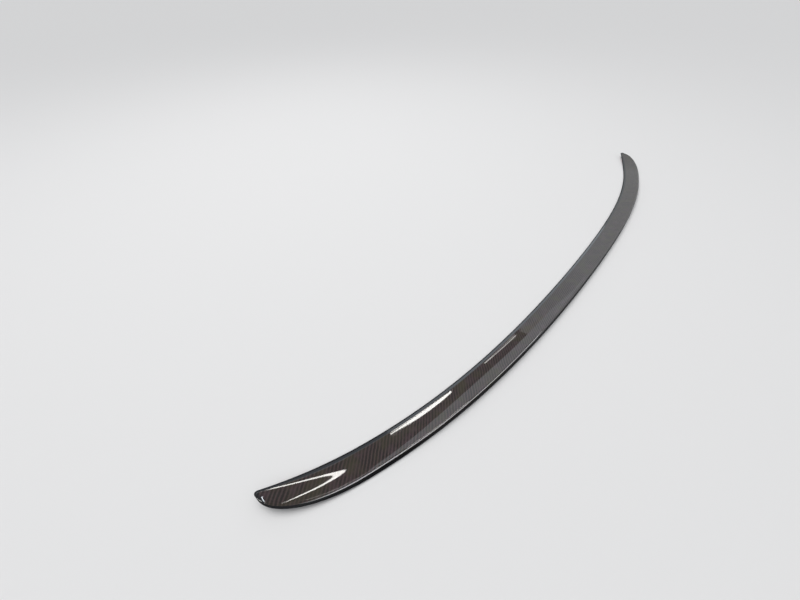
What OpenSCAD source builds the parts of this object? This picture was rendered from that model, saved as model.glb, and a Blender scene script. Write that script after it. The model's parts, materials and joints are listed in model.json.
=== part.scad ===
// Lip spoiler for the rear edge of a boot lid: a thin carbon fibre moulding,
// bowed in plan, with two rows of foam tape and their red liners underneath.
// It lies as it rests on a table. X runs along the span, +Y points to the
// front of the car, Z is up, and the liners touch the table at Z = 0.

/* [Plan shape] */
// Length from tip to tip
span = 1200; // [900:10:1400]
// How far the front edge bows back between the tips
bow = 101; // [60:1:140]
// Share of the bow that gathers towards the tips
bow_gather = 0.56; // [0.3:0.02:0.8]
// Width at the middle, square to the edge
width_mid = 36.5; // [34:0.5:60]
// Width that the section grows to at the tips, before the corners round off
width_end = 37.5; // [34:0.5:60]

/* [Section] */
// Height of the rear lip crest above the tape line
crest_h = 7.5; // [6:0.1:14]
// Height of the front crown above the tape line
crown_h = 3.1; // [2.8:0.1:6]
// Width of the sloping band along the front edge
band_w = 5.3; // [4:0.1:6]
// Height of the blunt front edge above the tape line
nose_h = 0.6; // [0.4:0.1:1.2]
// How far the rear face leans forward from foot to crest
rear_rake = 1; // [0.6:0.1:5]
// How far the top dips between crown and crest
top_dip = 0.75; // [0:0.05:1.2]
// Radius of the crest along the rear edge
crest_r = 1.6; // [0.5:0.1:2.2]

/* [Ends] */
// Length over which each rear corner rounds off
corner_len = 100; // [70:1:130]
// How much of the width the rear corner takes off at the tip
corner_w = 34.5; // [33:0.5:36]
// Squareness of the rear corner curve
corner_power = 2.6; // [2.2:0.1:3]
// Radius of the front corner at the tip
tip_r = 5; // [2:0.5:5.5]
// Length over which the top rolls down to the end face
end_roll = 3.5; // [2:0.5:5]
// Height of the end face above the tape line
end_face_h = 1.2; // [1:0.1:2.5]
// Height of the section at the tips, as a share of the height in the middle
tip_share = 0.3; // [0.3:0.05:1]
// Length of each end over which the section gets lower
thin_len = 313; // [150:1:400]
// Extra height of the top near the tips, rounded off towards the front edge
end_crown = 0.3; // [0:0.05:0.6]
// Rise of each tip off the table
tip_lift = 9; // [0:1:20]
// Length of each raised end
lift_len = 105; // [80:5:160]

/* [Underside] */
// Skin thickness over the hollow channel
wall = 1.8; // [1.4:0.1:2.2]
// Width of the solid margin along each edge
margin_w = 12; // [11:0.5:13]
// Width of the rim outside the tape
rim_w = 2.2; // [1.6:0.1:2.4]
// How far the rim hangs below the tape line
rim_drop = 0.8; // [0.4:0.1:1]
// Height of the upright foot on both edges
foot_h = 0.8; // [0.5:0.1:1]
// Solid length beyond the channel at each end
solid_end = 150; // [100:5:250]

/* [Tape] */
// Width of each tape
tape_w = 8; // [5:0.5:8]
// Thickness of the foam
tape_t = 1.1; // [1.1:0.1:1.6]
// Thickness of the peel-off liner
liner_t = 0.25; // [0.1:0.05:0.4]
// Gap between the rim and the tape
tape_gap = 0.6; // [0.5:0.1:1]
// Distance from the tip to the end of the front tape
front_tape_in = 16; // [12:1:60]
// Distance from the tip to the end of the rear tape
rear_tape_in = 42; // [38:1:90]

/* [Hidden] */

half = span / 2;
tape_z = tape_t + liner_t;           // the tape line, where foam meets shell
pad_draft = 0.4;                     // slope of the inner side of the rim
channel_draft = 1.6;                 // slope of the sides of the channel
channel_ramp = 14;                   // length of the run-out of the channel
recess_in = 6;                       // distance from the tip to the tape recess
recess_ramp = 5;                     // length of the run-out of the tape recess
crown_reach = 14;                    // how far back the end crown rounds off
crown_from = 170;                    // distance from the tip where the end crown starts
crown_ramp = 90;                     // length over which the end crown rises
body_step = 20;                      // spacing of the sections
end_turns = 13;                      // sections round each corner

function clamp(v, lo, hi) = min(max(v, lo), hi);
function mean(v) = v * [for (i = v) 1] / len(v);
function ease(v) = let (c = clamp(v, 0, 1)) c * c * (3 - 2 * c);

// Plan curves. The rear edge is measured square to the front edge, so its
// distance along Y grows with the slope of the bow.
function front_curve(x) =
    let (u = x / half)
    bow * ((1 - bow_gather) * pow(u, 2) + bow_gather * pow(u, 4)) - bow;
function front_slope(x) =
    let (u = x / half)
    bow / half * (2 * (1 - bow_gather) * u + 4 * bow_gather * pow(u, 3));
function stretch(x) = sqrt(1 + pow(front_slope(x), 2));
function full_width(x) = width_mid + (width_end - width_mid) * pow(x / half, 4);
function tip_round(x) =
    let (s = clamp((abs(x) - half + tip_r) / tip_r, 0, 1)) tip_r * (1 - sqrt(1 - s * s));
function corner_cut(x) =
    let (t = clamp((abs(x) - half + corner_len) / corner_len, 0, 1))
    corner_w * (1 - pow(1 - pow(t, corner_power), 1 / corner_power));
function y_front(x) = front_curve(x) - tip_round(x);
function y_rear(x) = front_curve(x) - full_width(x) * stretch(x) + corner_cut(x);
function y_width(x) = y_front(x) - y_rear(x);
function rear_slope(x) = (y_rear(abs(x)) - y_rear(abs(x) - 0.5)) / 0.5;

// Heights along the span
function lift(x) = tip_lift * pow(clamp((abs(x) - half + lift_len) / lift_len, 0, 1), 2);
function roll(x) =
    let (s = clamp((abs(x) - half + end_roll) / end_roll, 0, 1)) 1 - sqrt(1 - s * s);
function thin_share(x) = 1 - (1 - tip_share) * ease((abs(x) - half + thin_len) / thin_len);
function crowned(d, x) =
    let (c = 1 - clamp(d / (crown_reach * stretch(x)), 0, 1))
    end_crown * ease((abs(x) - half + crown_from) / crown_ramp) * (1 - c * c);
function rolled(d, h, x) =
    let (t = h > 0 ? h * thin_share(x) + crowned(d, x) : h)
    t + (min(t, end_face_h) - t) * roll(x);

// Sections stand square to X, closer together where the corners turn
half_stations = concat(
    [for (x = [0 : body_step : half - corner_len - 1]) x],
    [for (i = [0 : end_turns]) half - corner_len + corner_len * sin(90 * i / end_turns)]);
last = len(half_stations) - 1;
stations = concat([for (i = [last : -1 : 1]) -half_stations[i]], half_stations);
lift_table = [for (x = stations) [x, lift(x)]];
y_shift = -(max([for (x = stations) y_front(x)]) + min([for (x = stations) y_rear(x)])) / 2;
function tape_line(x) = tape_z + lookup(x, lift_table);

// Distance in from the front or rear edge, kept to its share of a narrow end
function in_front(d, x, share) = min(d * stretch(x), share * y_width(x));
function in_rear(d, x, share) =
    min(d * sqrt(1 + pow(rear_slope(x), 2)), share * y_width(x));

// Top of the shell between the crown (q = 0) and the crest (q = 1)
// It curls up towards the crest, and the dip is deepest at q = 0.55.
function top_height(q) =
    crown_h + (crest_h - crown_h) * q - top_dip * (q - pow(max(q, 0), 2.6)) / 0.3387;

// One closed section of the shell, as [distance behind the front edge, height
// above the tape line], from the foot of the nose over the top and back below
function outer_points(x) = let (
    w = y_width(x),
    b = in_front(band_w, x, 0.28),
    r = in_rear(rear_rake, x, 0.28),
    c = min(crest_r * stretch(x), 0.08 * w),
    span_top = w - r - 2 * c - b * 1.1) concat(
    [[0.16 * b, -rim_drop], [0, foot_h - rim_drop], [0.02 * b, 0.7 * nose_h],
     [0.12 * b, nose_h + 0.2], [0.3 * b, nose_h + 0.24 * (crown_h - nose_h)],
     [0.82 * b, nose_h + 0.84 * (crown_h - nose_h)],
     [0.95 * b, nose_h + 0.96 * (crown_h - nose_h)]],
    [for (q = [0, 0.1, 0.22, 0.36, 0.5, 0.64, 0.78, 0.9, 1])
        [1.1 * b + q * span_top, top_height(q)]],
    [[w - r - c, crest_h - 0.1 * crest_r], [w - r - 0.35 * c, crest_h - 0.55 * crest_r],
     [w - r, crest_h - 1.4 * crest_r], [w - 0.5 * r, 0.42 * crest_h],
     [w - 0.12 * r, 0.12 * crest_h], [w, foot_h - rim_drop], [w - 0.16 * r, -rim_drop]]);
function under_points(x) = let (
    w = y_width(x),
    rim_f = in_front(rim_w, x, 0.24),
    rim_r = in_rear(rim_w, x, 0.24),
    pad_f = in_front(margin_w, x, 0.4),
    pad_r = in_rear(margin_w, x, 0.4),
    deep = ease((half - solid_end - abs(x)) / channel_ramp),
    sunk = rim_drop * (ease((half - recess_in - abs(x)) / recess_ramp) - 1),
    side = min(channel_draft, 0.04 * w),
    run = w - pad_f - pad_r - 2 * side) concat(
    [[w - rim_r, -rim_drop], [w - rim_r - min(pad_draft, 0.03 * w), sunk],
     [w - pad_r, sunk]],
    [for (k = [1, 0.8, 0.5, 0.2, 0])
        let (y = pad_f + side + k * run,
             q = (y - 1.1 * in_front(band_w, x, 0.28)) / (w - 1.1 * in_front(band_w, x, 0.28)
                 - in_rear(rear_rake, x, 0.28)))
        [y, sunk + deep * (top_height(q) - wall)]],
    [[pad_f, sunk], [rim_f + min(pad_draft, 0.03 * w), sunk], [rim_f, -rim_drop]]);
function shell_section(x) = [
    for (p = concat(outer_points(x), under_points(x)))
        [x, y_front(x) - p[0] + y_shift, tape_z + lift(x) + rolled(p[0], p[1], x)]];

// Solid through a row of sections that have the same number of points. Each end
// closes with a fan round the middle of its section.
module loft(rings) {
    n = len(rings[0]);
    m = len(rings);
    middles = [for (r = [rings[0], rings[m - 1]]) [for (i = [0 : 2]) mean([for (p = r) p[i]])]];
    polyhedron(
        points = concat([for (r = rings) each r], middles),
        faces = concat(
            [for (k = [0 : n - 1]) [m * n, k, (k + 1) % n]],
            [for (j = [0 : m - 2]) for (k = [0 : n - 1])
                let (a = j * n + k, b = j * n + (k + 1) % n) [a, a + n, b + n]],
            [for (j = [0 : m - 2]) for (k = [0 : n - 1])
                let (a = j * n + k, b = j * n + (k + 1) % n) [a, b + n, b]],
            [for (k = [0 : n - 1])
                [m * n + 1, (m - 1) * n + (k + 1) % n, (m - 1) * n + k]]));
}

// Flat strip under a margin, between two heights below the tape line
module strip(behind_front, length_in, top, bottom) {
    reach = half - length_in;
    inside = [for (x = stations) if (abs(x) < reach - 1) x];
    loft([for (x = concat([-reach], inside, [reach]))
        let (near = behind_front ? y_front(x) - (rim_w + tape_gap) * stretch(x)
                                 : y_rear(x) + (rim_w + tape_gap + tape_w)
                                   * sqrt(1 + pow(rear_slope(x), 2)),
             far = near - tape_w * (behind_front ? stretch(x)
                                                 : sqrt(1 + pow(rear_slope(x), 2))))
        [[x, near + y_shift, tape_line(x) - bottom], [x, near + y_shift, tape_line(x) - top],
         [x, far + y_shift, tape_line(x) - top], [x, far + y_shift, tape_line(x) - bottom]]]);
}

module spoiler_shell() color([0.20, 0.18, 0.17]) loft([for (x = stations) shell_section(x)]);
module front_tape() color([0.16, 0.16, 0.17]) strip(true, front_tape_in, 0, tape_t);
module rear_tape() color([0.16, 0.16, 0.17]) strip(false, rear_tape_in, 0, tape_t);
module front_liner() color([0.72, 0.10, 0.12]) strip(true, front_tape_in, tape_t, tape_z);
module rear_liner() color([0.72, 0.10, 0.12]) strip(false, rear_tape_in, tape_t, tape_z);

spoiler_shell();
front_tape();
rear_tape();
front_liner();
rear_liner();
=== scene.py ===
"""Looks of a clear-coated carbon fibre lip spoiler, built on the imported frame.

The moulded shell is built again as one smooth mesh from the same sizes as the
solid, so that its clear coat reflects without facets. The foam tapes and the
red liners under it are swept along the rows that the frame gives. A pale floor,
soft light and the camera of the photograph complete the scene.
"""

import json
import logging
import math
from dataclasses import dataclass, field
from enum import Enum

import bpy
import numpy as np
from mathutils import Matrix, Vector
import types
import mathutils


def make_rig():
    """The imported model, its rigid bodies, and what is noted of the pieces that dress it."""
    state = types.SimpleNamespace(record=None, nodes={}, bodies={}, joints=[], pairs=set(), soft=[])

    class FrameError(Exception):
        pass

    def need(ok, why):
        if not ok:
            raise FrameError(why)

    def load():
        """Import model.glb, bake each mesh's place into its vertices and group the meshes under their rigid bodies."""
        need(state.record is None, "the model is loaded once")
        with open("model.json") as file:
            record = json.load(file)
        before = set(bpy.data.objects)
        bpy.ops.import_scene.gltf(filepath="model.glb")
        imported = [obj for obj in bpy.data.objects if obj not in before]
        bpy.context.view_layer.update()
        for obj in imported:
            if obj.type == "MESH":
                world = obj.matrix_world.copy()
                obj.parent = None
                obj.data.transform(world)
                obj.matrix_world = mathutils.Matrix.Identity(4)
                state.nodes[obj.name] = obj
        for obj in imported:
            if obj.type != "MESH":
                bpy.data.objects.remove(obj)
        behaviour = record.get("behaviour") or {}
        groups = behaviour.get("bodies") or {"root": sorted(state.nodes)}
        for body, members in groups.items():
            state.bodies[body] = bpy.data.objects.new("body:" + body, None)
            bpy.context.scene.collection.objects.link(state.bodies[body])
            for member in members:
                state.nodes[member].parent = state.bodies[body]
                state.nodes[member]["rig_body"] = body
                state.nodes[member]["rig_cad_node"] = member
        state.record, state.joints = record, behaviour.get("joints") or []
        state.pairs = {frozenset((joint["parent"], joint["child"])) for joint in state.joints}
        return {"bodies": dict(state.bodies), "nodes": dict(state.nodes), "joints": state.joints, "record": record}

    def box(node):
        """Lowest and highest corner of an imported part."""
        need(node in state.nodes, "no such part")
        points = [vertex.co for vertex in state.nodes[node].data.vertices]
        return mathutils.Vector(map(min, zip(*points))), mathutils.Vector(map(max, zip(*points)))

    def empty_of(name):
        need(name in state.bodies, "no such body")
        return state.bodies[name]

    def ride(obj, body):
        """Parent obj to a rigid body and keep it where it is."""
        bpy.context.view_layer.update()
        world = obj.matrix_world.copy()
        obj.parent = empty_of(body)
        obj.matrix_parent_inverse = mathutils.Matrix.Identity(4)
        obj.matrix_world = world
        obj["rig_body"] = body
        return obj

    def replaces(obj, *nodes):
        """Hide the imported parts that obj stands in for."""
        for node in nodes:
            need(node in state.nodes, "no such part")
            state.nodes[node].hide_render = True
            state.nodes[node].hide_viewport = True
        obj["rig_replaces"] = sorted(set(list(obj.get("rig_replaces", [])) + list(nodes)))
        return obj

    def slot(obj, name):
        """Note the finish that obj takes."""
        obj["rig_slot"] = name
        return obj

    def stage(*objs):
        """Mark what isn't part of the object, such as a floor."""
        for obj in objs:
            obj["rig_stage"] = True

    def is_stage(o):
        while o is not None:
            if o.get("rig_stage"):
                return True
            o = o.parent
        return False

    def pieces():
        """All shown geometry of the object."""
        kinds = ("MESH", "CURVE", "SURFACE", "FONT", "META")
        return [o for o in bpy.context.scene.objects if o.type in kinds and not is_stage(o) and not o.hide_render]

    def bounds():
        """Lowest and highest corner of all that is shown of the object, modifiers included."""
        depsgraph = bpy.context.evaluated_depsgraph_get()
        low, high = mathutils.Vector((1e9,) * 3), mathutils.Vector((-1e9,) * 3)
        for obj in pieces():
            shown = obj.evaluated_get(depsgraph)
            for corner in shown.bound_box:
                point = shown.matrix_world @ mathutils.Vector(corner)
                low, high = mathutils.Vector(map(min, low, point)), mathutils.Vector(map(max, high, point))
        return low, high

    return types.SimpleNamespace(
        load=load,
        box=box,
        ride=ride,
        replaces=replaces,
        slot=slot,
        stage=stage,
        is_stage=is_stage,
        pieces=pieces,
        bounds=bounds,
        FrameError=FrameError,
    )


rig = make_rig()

LOG = logging.getLogger("lip_spoiler")
MM = 0.001
SIZE_FILE = "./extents.json"

Point = tuple[float, float, float]
Colour = tuple[float, float, float]
Shares = tuple[tuple[float, ...], ...]
Material = bpy.types.Material
Node = bpy.types.Node
Object = bpy.types.Object
Socket = bpy.types.NodeSocket
Tree = bpy.types.NodeTree


class Edge(Enum):
    """Which edge of the spoiler a tape row follows."""

    FRONT = "front"
    REAR = "rear"


class Finish(Enum):
    """Finishes of the shell, with the number that each of its faces carries."""

    COAT = 0
    # The trimmed edge's black is partly the edge's own colour and partly painted shade of the rear face and of the gap
    # under the lip.
    TRIMMED_EDGE = 1
    UNDERSIDE = 2

    @property
    def label(self) -> str:
        """Name of the tree's input for this finish."""
        return self.name.replace("_", " ").title()


def clamp(value: np.ndarray | float) -> np.ndarray:
    """The value, kept between 0 and 1."""
    return np.clip(value, 0.0, 1.0)


def ease(value: np.ndarray | float) -> np.ndarray:
    """A smooth step from 0 to 1 as the value goes from 0 to 1."""
    c = clamp(value)
    return c * c * (3 - 2 * c)


def quarter_round(value: np.ndarray | float) -> np.ndarray:
    """Drop of a quarter circle of radius 1 as the value goes from 0 to 1."""
    c = clamp(value)
    return 1 - np.sqrt(1 - c * c)


def add_object(name: str, data: bpy.types.ID) -> Object:
    """Adds an object to the scene.

    Args:
        name: its name.
        data: its mesh, curve, camera or light.

    Returns:
        The new object.
    """
    made = bpy.data.objects.new(name, data)
    bpy.context.scene.collection.objects.link(made)
    return made


@dataclass(frozen=True)
class ShellSizes:
    """Sizes of the moulded shell in metres: the solid's, and the finer ones of its edges."""

    span: float = 1200 * MM
    bow: float = 101 * MM
    bow_gather: float = 0.56
    width_mid: float = 36.5 * MM
    width_end: float = 37.5 * MM
    crest_h: float = 7.5 * MM
    crown_h: float = 3.1 * MM
    band_w: float = 5.3 * MM
    band_taper: float = 75 * MM
    band_narrowing: float = 0.5
    nose_h: float = 0.6 * MM
    rear_rake: float = 1.0 * MM
    top_dip: float = 0.75 * MM
    dip_power: float = 2.6
    dip_peak: float = 0.3387
    crest_r: float = 1.6 * MM
    edge_slant: float = 1.1 * MM
    edge_round: float = 0.15
    slant_from: float = 200 * MM
    slant_ramp: float = 90 * MM
    corner_len: float = 100 * MM
    corner_w: float = 34.5 * MM
    corner_power: float = 2.6
    tip_r: float = 5.0 * MM
    end_roll: float = 3.5 * MM
    end_face_h: float = 1.2 * MM
    tip_share: float = 0.3
    end_crown: float = 0.3 * MM
    crown_reach: float = 14 * MM
    crown_from: float = 170 * MM
    crown_ramp: float = 90 * MM
    thin_len: float = 313 * MM
    tip_lift: float = 9.0 * MM
    lift_len: float = 105 * MM
    wall: float = 1.8 * MM
    margin_w: float = 12.0 * MM
    rim_w: float = 2.2 * MM
    rim_drop: float = 0.8 * MM
    foot_h: float = 0.8 * MM
    solid_end: float = 150 * MM
    pad_draft: float = 0.4 * MM
    channel_draft: float = 1.6 * MM
    channel_ramp: float = 14 * MM
    recess_in: float = 6 * MM
    recess_ramp: float = 5 * MM
    tape_line: float = 1.35 * MM

    @property
    def half(self) -> float:
        """Half of the span."""
        return self.span / 2


@dataclass(frozen=True)
class SectionForm:
    """Points and limits of a section, as shares of its own widths and heights.

    The nose has shares of the band's width and of the nose's height, and a height
    to add. The band has shares of its width and rise. The crest has shares of its
    radius, before the rear face and down. The rake has shares of its width, before
    the rear foot, and of the crest's height. Each resin zone has the place where it
    starts and its run. The limits are shares of the section's width.
    """

    nose: Shares = ((0.02, 0.7, 0.0), (0.12, 1.0, 0.2 * MM))
    band: Shares = ((0.3, 0.24), (0.82, 0.84), (0.95, 0.96))
    top: tuple[float, ...] = (0, 0.1, 0.22, 0.36, 0.5, 0.64, 0.78, 0.9, 1)
    crest: Shares = ((1, 0.1), (0.35, 0.55), (0, 1.4))
    rake: Shares = ((0.5, 0.42), (0.12, 0.12))
    roof: tuple[float, ...] = (1, 0.8, 0.5, 0.2, 0)
    top_from: float = 1.1
    dome_from: float = 1.04
    foot_in: float = 0.16
    coat_from: int = 3
    # The coat ends half way round the crest. The black edge beyond it, over the lower rounding, is partly painted
    # shade of the rear face and of the gap under the lip.
    coat_to: int = 16
    resin_front: tuple[float, float] = (0.8, 0.3)
    resin_rear: tuple[float, float] = (0.5, 0.4)
    resin_end: float = 0.4
    edge_most: float = 0.28
    crest_most: float = 0.08
    slant_most: float = 0.05
    rim_most: float = 0.24
    margin_most: float = 0.4
    draft_most: float = 0.03
    side_most: float = 0.04


@dataclass(frozen=True)
class EndDome:
    """Low dome of the top near each tip, where its lean is least half way back."""

    start: float = 345 * MM
    ramp: float = 150 * MM
    reach: float = 255 * MM
    apex: float = 522.5 * MM
    ease_in: float = 22 * MM
    middle_in: float = 18 * MM
    steepest: float = 0.147
    steepest_fall: float = 0.030
    steepest_bend: float = 0.085
    steepest_back: float = 1.8
    ease_off: float = 0.014
    blend: float = 0.003
    lean: float = 0.0527
    lean_fall: float = 0.56
    lean_bend: float = 1.2
    lean_back: float = 1.56
    pivot_in: float = 16 * MM
    curl: float = 550.0
    valley_in: float = 17.2 * MM
    valley_drift: float = 0.086
    spread: float = 1.25 * MM
    rise_places: tuple[float, ...] = (0.345, 0.400, 0.460, 0.498, 0.520)
    rise_in: tuple[float, ...] = (0.0200, 0.0230, 0.0265, 0.0285, 0.0360)
    rise_lead: float = 1 * MM
    rise_slope: float = 0.05
    rise_ramp: float = 6 * MM

    def slope(self, back: np.ndarray, x: float) -> np.ndarray:
        """Slope of the top of a section.

        Args:
            back: distances square to the front edge.
            x: place of the section along the span.

        Returns:
            The slope at each of those distances.
        """
        past = max(abs(x) - self.apex, 0.0)
        short = max(self.apex - abs(x), 0.0)
        u = (abs(x) - self.start) / self.reach
        limit = (self.steepest - self.steepest_fall * u - self.steepest_bend * u**2
                 + self.steepest_back * (back - self.middle_in))
        valley = self.valley_in - self.valley_drift * past
        level = self.lean - self.lean_fall * past - self.lean_bend * past**2
        domed = (level + self.lean_back * (back - self.pivot_in)
                 + self.curl * ((back - valley) ** 2 - self.spread * past))
        under = np.maximum(limit - domed, 0.0) * (1 - float(ease(short / self.ease_in)))
        under = self.blend * np.logaddexp(self.ease_off / self.blend, under / self.blend)
        rise = float(np.interp(abs(x), self.rise_places, self.rise_in))
        under = under * (1 - ease((back - rise + self.rise_lead) / (2 * self.rise_lead)))
        return limit - under + self.rise_slope * ease((back - rise) / self.rise_ramp)

    def share(self, x: float) -> float:
        """How far the dome has taken over from the plain section, 0 to 1."""
        return float(ease((abs(x) - self.start) / self.ramp))


@dataclass(frozen=True)
class PlanCurves:
    """The front and rear edges of the shell, seen from above."""

    sizes: ShellSizes
    step: float = 0.5 * MM

    def front_curve(self, x: np.ndarray) -> np.ndarray:
        """The front edge before its tips are rounded.

        Args:
            x: places along the span.

        Returns:
            Y of the edge there, 0 at the tips.
        """
        s = self.sizes
        u = x / s.half
        return s.bow * ((1 - s.bow_gather) * u**2 + s.bow_gather * u**4) - s.bow

    def stretch(self, x: np.ndarray) -> np.ndarray:
        """How much longer a distance square to the front edge is along Y.

        Args:
            x: places along the span.

        Returns:
            The factor at each place.
        """
        s = self.sizes
        u = x / s.half
        slope = s.bow / s.half * (2 * (1 - s.bow_gather) * u + 4 * s.bow_gather * u**3)
        return np.sqrt(1 + slope**2)

    def front(self, x: np.ndarray) -> np.ndarray:
        """The front edge with its tips rounded.

        Args:
            x: places along the span.

        Returns:
            Y of the edge there.
        """
        s = self.sizes
        inward = (np.abs(x) - s.half + s.tip_r) / s.tip_r
        return self.front_curve(x) - s.tip_r * quarter_round(inward)

    def rear(self, x: np.ndarray) -> np.ndarray:
        """The rear edge with its corners rounded off.

        Args:
            x: places along the span.

        Returns:
            Y of the edge there.
        """
        s = self.sizes
        t = clamp((np.abs(x) - s.half + s.corner_len) / s.corner_len)
        cut = s.corner_w * (1 - (1 - t**s.corner_power) ** (1 / s.corner_power))
        width = s.width_mid + (s.width_end - s.width_mid) * (x / s.half) ** 4
        return self.front_curve(x) - width * self.stretch(x) + cut

    def rear_stretch(self, x: np.ndarray) -> np.ndarray:
        """How much longer a distance square to the rear edge is along Y."""
        a = np.abs(x)
        return np.sqrt(1 + ((self.rear(a) - self.rear(a - self.step)) / self.step) ** 2)


@dataclass
class SpoilerShell:
    """The moulded carbon fibre shell, as one closed smooth mesh."""

    sizes: ShellSizes = field(default_factory=ShellSizes)
    form: SectionForm = field(default_factory=SectionForm)
    dome: EndDome = field(default_factory=EndDome)
    body_sections: int = 84
    corner_sections: int = 56
    curve_steps: int = 4
    fewest_points: int = 4
    end_resin: float = 5 * MM
    closing_step: float = 2 * MM
    sharp_angle: float = 40.0
    name: str = "carbon_shell"

    def __post_init__(self) -> None:
        """Makes the plan curves that every section stands on."""
        self.plan = PlanCurves(self.sizes)

    def stations(self) -> np.ndarray:
        """Places of the sections along X, closer together where the corners turn.

        Returns:
            The places from the left tip to the right tip.
        """
        s = self.sizes
        start = s.half - s.corner_len
        body = np.linspace(0, start, self.body_sections, endpoint=False)
        corner = start + s.corner_len * np.sin(np.linspace(0, math.pi / 2, self.corner_sections))
        right = np.concatenate([body, corner])
        return np.concatenate([-right[:0:-1], right])

    def top_height(self, q: float) -> float:
        """Height of the top of a section before its end thins.

        Args:
            q: place on the top, from the crown (0) to the crest (1).

        Returns:
            The height above the tape line.
        """
        s = self.sizes
        curl = (q - max(q, 0.0) ** s.dip_power) / s.dip_peak
        return s.crown_h + (s.crest_h - s.crown_h) * q - s.top_dip * curl

    def stretches(self, x: float) -> tuple[float, float]:
        """How much longer distances square to the front and to the rear edge are along Y."""
        at = np.array([x])
        return float(self.plan.stretch(at)[0]), float(self.plan.rear_stretch(at)[0])

    def edge_widths(self, x: float) -> tuple[float, float, float]:
        """Widths of a section along Y.

        Args:
            x: place of the section along the span.

        Returns:
            The width of the section, of its front band and of its rear face.
        """
        s, at = self.sizes, np.array([x])
        front, rear = self.stretches(x)
        width = float((self.plan.front(at) - self.plan.rear(at))[0])
        taper = float(ease((abs(x) - s.half + s.band_taper) / s.band_taper))
        band_w = s.band_w * (1 - s.band_narrowing * taper)
        most = self.form.edge_most * width
        return width, min(band_w * front, most), min(s.rear_rake * rear, most)

    def outer_profile(self, x: float) -> np.ndarray:
        """Outer side of a section, from the foot of the nose over the top to the rear foot.

        Args:
            x: place of the section along the span.

        Returns:
            Rows of distance behind the front edge and height above the tape line.
        """
        s, form = self.sizes, self.form
        w, b, r = self.edge_widths(x)
        front, rear = self.stretches(x)
        start = form.top_from * b
        c = min(s.crest_r * front, form.crest_most * w)
        top_w = w - r - 2 * c - start
        near_tip = float(ease((abs(x) - s.half + s.slant_from) / s.slant_ramp))
        slant = near_tip * min(s.edge_slant * rear, form.slant_most * w)
        grown = 1 + s.edge_round * near_tip
        keep = 1 - (slant + 2 * c * (grown - 1)) / top_w
        crest, turn, c, r = self.top_height(keep), s.crest_r * grown, c * grown, r + slant
        rise, foot = s.crown_h - s.nose_h, s.foot_h - s.rim_drop
        points = [(0.0, foot)]
        points += [(k * b, h * s.nose_h + more) for k, h, more in form.nose]
        points += [(k * b, s.nose_h + h * rise) for k, h in form.band]
        points += [(start + q * keep * top_w, self.top_height(q * keep)) for q in form.top]
        points += [(w - r - k * c, crest - down * turn) for k, down in form.crest]
        points += [(w - k * r, h * crest) for k, h in form.rake]
        points += [(w, foot)]
        return np.vstack([[(form.foot_in * b, -s.rim_drop)], self.smoothed(np.array(points)),
                          [(w - form.foot_in * r, -s.rim_drop)]])

    def smoothed(self, points: np.ndarray) -> np.ndarray:
        """A Catmull-Rom curve through points.

        Args:
            points: rows of the points, in their order.

        Returns:
            Rows of the curve's points, with the given ones among them.
        """
        ext = np.vstack([2 * points[0] - points[1], points, 2 * points[-1] - points[-2]])
        rows = []
        for p0, p1, p2, p3 in zip(ext, ext[1:], ext[2:], ext[3:]):
            d1, d2, d3 = (max(float(np.linalg.norm(b - a)), 1e-9) ** 0.5
                          for a, b in ((p0, p1), (p1, p2), (p2, p3)))
            m1 = p2 - p1 + d2 * ((p1 - p0) / d1 - (p2 - p0) / (d1 + d2))
            m2 = p2 - p1 + d2 * ((p3 - p2) / d3 - (p3 - p1) / (d2 + d3))
            for t in np.arange(self.curve_steps) / self.curve_steps:
                rows.append((2 * t**3 - 3 * t**2 + 1) * p1 + (t**3 - 2 * t**2 + t) * m1
                            + (3 * t**2 - 2 * t**3) * p2 + (t**3 - t**2) * m2)
        return np.array(rows + [points[-1]])

    def under_profile(self, x: float) -> np.ndarray:
        """Underside of a section, from the rear rim over the channel to the front rim.

        Args:
            x: place of the section along the span.

        Returns:
            Rows of distance behind the front edge and height above the tape line.
        """
        s, form = self.sizes, self.form
        w, b, r = self.edge_widths(x)
        rim_f, rim_r = (min(s.rim_w * k, form.rim_most * w) for k in self.stretches(x))
        pad_f, pad_r = (min(s.margin_w * k, form.margin_most * w) for k in self.stretches(x))
        draft = min(s.pad_draft, form.draft_most * w)
        side = min(s.channel_draft, form.side_most * w)
        deep = float(ease((s.half - s.solid_end - abs(x)) / s.channel_ramp))
        sunk = s.rim_drop * (float(ease((s.half - s.recess_in - abs(x)) / s.recess_ramp)) - 1)
        start, run = form.top_from * b, w - pad_f - pad_r - 2 * side
        roof = []
        for k in form.roof:
            y = pad_f + side + k * run
            q = (y - start) / (w - start - r)
            roof.append((y, sunk + deep * (self.top_height(q) - s.wall)))
        return np.array([(w - rim_r, -s.rim_drop), (w - rim_r - draft, sunk), (w - pad_r, sunk),
                         *roof, (pad_f, sunk), (rim_f + draft, sunk), (rim_f, -s.rim_drop)])

    def domed(self, back: np.ndarray, h: np.ndarray, x: float, outer_n: int) -> np.ndarray:
        """Gives the top near the tips its low dome.

        Args:
            back: distances square to the front edge, once round the section.
            h: heights above the tape line, once round the section.
            x: place of the section along the span.
            outer_n: number of points on the outer side.

        Returns:
            The new heights.
        """
        share = self.dome.share(x)
        if share == 0:
            return h
        front_in = self.form.dome_from * self.edge_widths(x)[1] / self.stretches(x)[0]
        new, outer = h.copy(), back[:outer_n]
        peak = int(np.argmax(h[:outer_n] * (outer > outer.max() / 2)))
        start = int(np.searchsorted(back[:peak], front_in))
        if peak - start < self.fewest_points:
            return h
        top = slice(start, peak + 1)
        slope = self.dome.slope(back[top], x)
        steps = (slope[1:] + slope[:-1]) / 2 * np.diff(back[top])
        rise = np.concatenate([[0], np.cumsum(steps)])
        new[top] += share * (h[start] + rise - h[top])
        lower = new[peak] / h[peak]
        rear = slice(peak + 1, outer_n)
        new[rear] = np.where(h[rear] > 0, h[rear] * lower, h[rear])
        return new

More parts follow.
